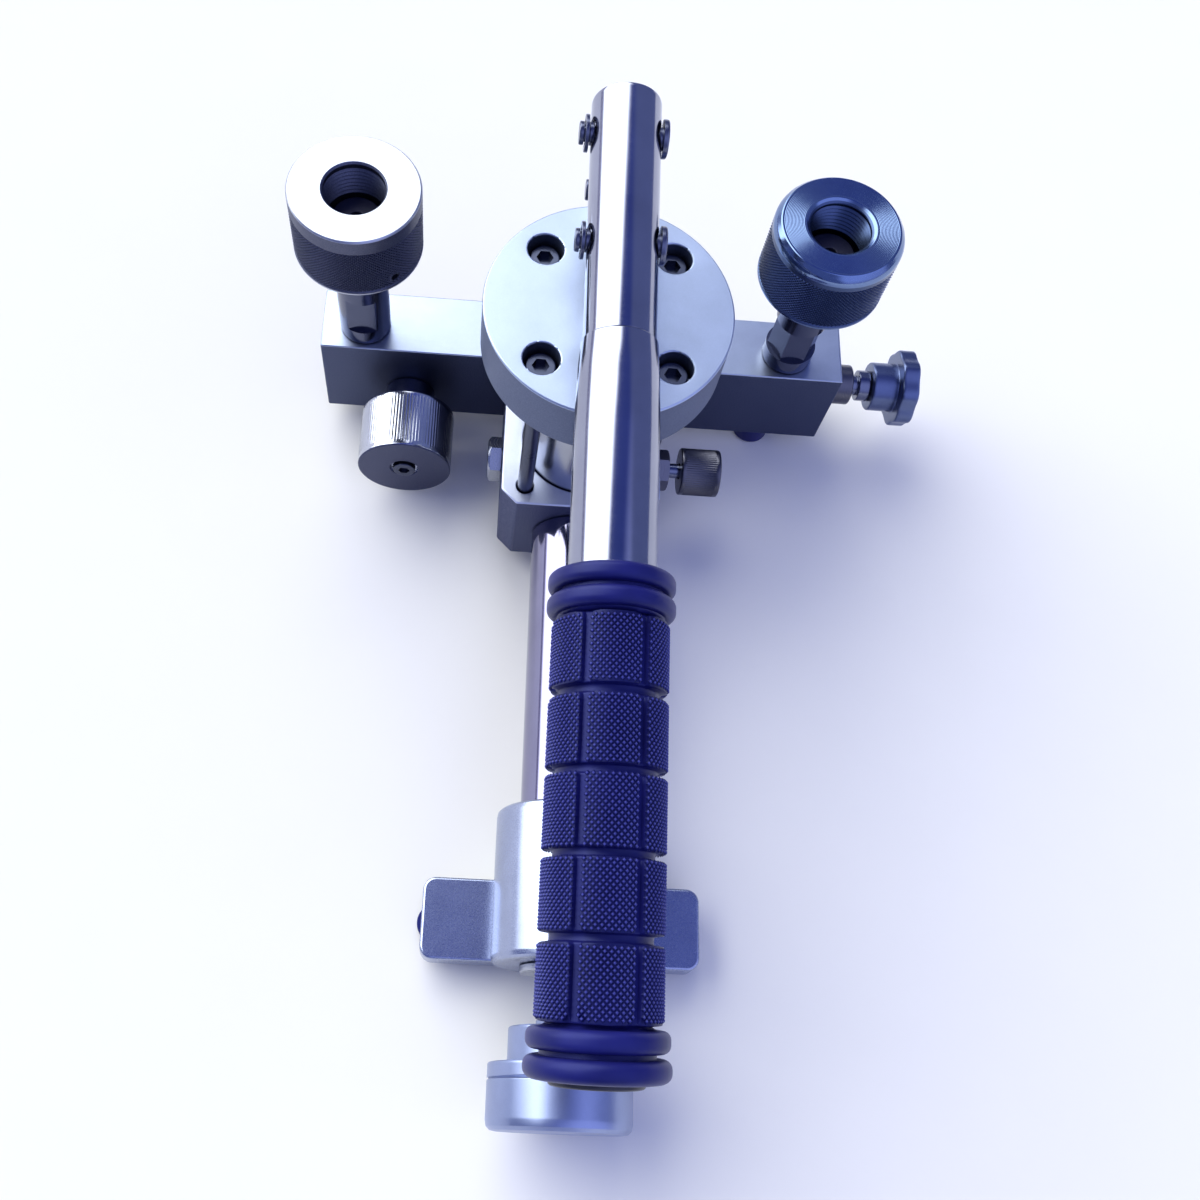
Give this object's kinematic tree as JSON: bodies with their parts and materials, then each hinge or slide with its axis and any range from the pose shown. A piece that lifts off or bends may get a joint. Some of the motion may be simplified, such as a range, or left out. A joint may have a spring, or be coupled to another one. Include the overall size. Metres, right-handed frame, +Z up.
{
  "type": "hand pressure pump",
  "caption": "Bench hand pump for testing gauges: lever pump on a T-shaped base with turning gauge nuts, shut-off valves and a fine-adjustment cylinder with a handwheel.",
  "frame": {"origin": "centre of the bounding box on the surface the pump stands on", "axes": "+Z up along the pump barrel, -Y from the barrel towards the handwheel and the lever's grip, +X towards the end valve"},
  "size_m": [0.2144, 0.274, 0.1577],
  "materials": {
    "satin_aluminium": "satin, blasted or finely turned",
    "polished_stainless": "polished",
    "dark_steel": "blackened",
    "brass": "turned",
    "black_rubber": "moulded, matt",
    "black_seal": "smooth",
    "black_plastic": "moulded"
  },
  "bodies": {
    "base": {"base_block": "satin_aluminium", "crossbar": "satin_aluminium", "crossbar_screw_left": "dark_steel", "crossbar_screw_right": "dark_steel", "crossbar_foot_left": "black_rubber", "crossbar_foot_right": "black_rubber", "barrel": "polished_stainless", "flange_head": "satin_aluminium", "tie_screw_1": "dark_steel", "tie_screw_2": "dark_steel", "tie_screw_3": "dark_steel", "tie_screw_4": "dark_steel", "rod_bush": "brass", "rod_seal": "black_seal", "link_bracket": "satin_aluminium", "link_bracket_screw": "dark_steel", "link_base_pin": "dark_steel", "link_base_clip": "dark_steel", "port_stem_left": "polished_stainless", "port_stem_right": "polished_stainless", "port_collar_left": "dark_steel", "port_collar_right": "dark_steel", "port_seal_left": "black_seal", "port_seal_right": "black_seal", "left_valve_gland": "polished_stainless", "right_valve_gland": "polished_stainless", "bleed_valve_gland": "polished_stainless", "check_valve_plug": "polished_stainless", "check_valve_ball": "polished_stainless", "fine_cylinder": "polished_stainless", "fine_bracket": "satin_aluminium", "leg_foot_left": "black_rubber", "leg_foot_right": "black_rubber", "lead_nut": "satin_aluminium"},
    "pump_piston": {"piston": "brass", "piston_seal": "black_seal", "piston_rod": "polished_stainless"},
    "lever": {"lever_head": "polished_stainless", "lever_tube": "polished_stainless", "lever_end_plug": "black_plastic", "lever_grip": "black_rubber", "rod_pin": "dark_steel", "rod_clip": "dark_steel", "lever_pivot_pin": "dark_steel", "lever_pivot_clip": "dark_steel"},
    "link": {"link_plate_left": "polished_stainless", "link_plate_right": "polished_stainless"},
    "fine_plunger": {"fine_piston": "brass", "fine_piston_seal": "black_seal"},
    "wheel": {"lead_screw": "polished_stainless", "handwheel": "satin_aluminium"},
    "left_stem": {"left_valve_stem": "polished_stainless"},
    "left_knob": {"left_valve_knob": "polished_stainless", "left_valve_knob_screw": "dark_steel"},
    "right_stem": {"right_valve_stem": "polished_stainless"},
    "right_knob": {"right_valve_knob": "polished_stainless"},
    "bleed_stem": {"bleed_valve_stem": "polished_stainless"},
    "bleed_knob": {"bleed_valve_knob": "dark_steel"},
    "left_port": {"port_nut_left": "satin_aluminium"},
    "right_port": {"port_nut_right": "satin_aluminium"}
  },
  "joints": [
    {"name": "piston_stroke", "type": "slide", "parent": "base", "child": "pump_piston", "axis": [0, 0, 1], "range_m": [0, 0.018]},
    {"name": "lever_lift", "type": "hinge", "parent": "pump_piston", "child": "lever", "pos_m": [-0.01225, 0.077, 0.143], "axis": [-1, 0, 0], "range_deg": [0, 34.3]},
    {"name": "link_swing", "type": "hinge", "parent": "base", "child": "link", "pos_m": [-0.01225, 0.123, 0.11], "axis": [1, 0, 0], "range_deg": [0, 3.6]},
    {"name": "fine_stroke", "type": "slide", "parent": "base", "child": "fine_plunger", "axis": [0, 1, 0], "range_m": [-0.02, 0.012]},
    {"name": "handwheel_turn", "type": "hinge", "parent": "fine_plunger", "child": "wheel", "pos_m": [-0.01225, -0.127, 0.024], "axis": [0, 1, 0], "range_deg": [-3600, 2160]},
    {"name": "left_valve_travel", "type": "slide", "parent": "base", "child": "left_stem", "axis": [0, -1, 0], "range_m": [0, 0.002]},
    {"name": "left_valve_turn", "type": "hinge", "parent": "left_stem", "child": "left_knob", "pos_m": [-0.07175, 0.097, 0.02], "axis": [0, -1, 0], "range_deg": [0, 720]},
    {"name": "right_valve_travel", "type": "slide", "parent": "base", "child": "right_stem", "axis": [1, 0, 0], "range_m": [0, 0.002]},
    {"name": "right_valve_turn", "type": "hinge", "parent": "right_stem", "child": "right_knob", "pos_m": [0.09225, 0.1185, 0.026], "axis": [1, 0, 0], "range_deg": [0, 720]},
    {"name": "bleed_valve_travel", "type": "slide", "parent": "base", "child": "bleed_stem", "axis": [1, 0, 0], "range_m": [0, 0.0015]},
    {"name": "bleed_valve_turn", "type": "hinge", "parent": "bleed_stem", "child": "bleed_knob", "pos_m": [0.02275, 0.077, 0.028], "axis": [1, 0, 0], "range_deg": [0, 720]},
    {"name": "left_port_turn", "type": "hinge", "parent": "base", "child": "left_port", "pos_m": [-0.08725, 0.117, 0.096], "axis": [0, 0, 1], "continuous": true},
    {"name": "right_port_turn", "type": "hinge", "parent": "base", "child": "right_port", "pos_m": [0.05775, 0.117, 0.096], "axis": [0, 0, 1], "continuous": true}
  ],
  "couplings": [
    {"joint": "piston_stroke", "follows": "lever_lift", "m_per_rad": 0.02979},
    {"joint": "link_swing", "follows": "lever_lift", "ratio": 0.1002},
    {"joint": "handwheel_turn", "follows": "fine_stroke", "rad_per_m": 3141.6},
    {"joint": "left_valve_turn", "follows": "left_valve_travel", "rad_per_m": 6283.2},
    {"joint": "right_valve_turn", "follows": "right_valve_travel", "rad_per_m": 6283.2},
    {"joint": "bleed_valve_turn", "follows": "bleed_valve_travel", "rad_per_m": 8377.6}
  ]
}
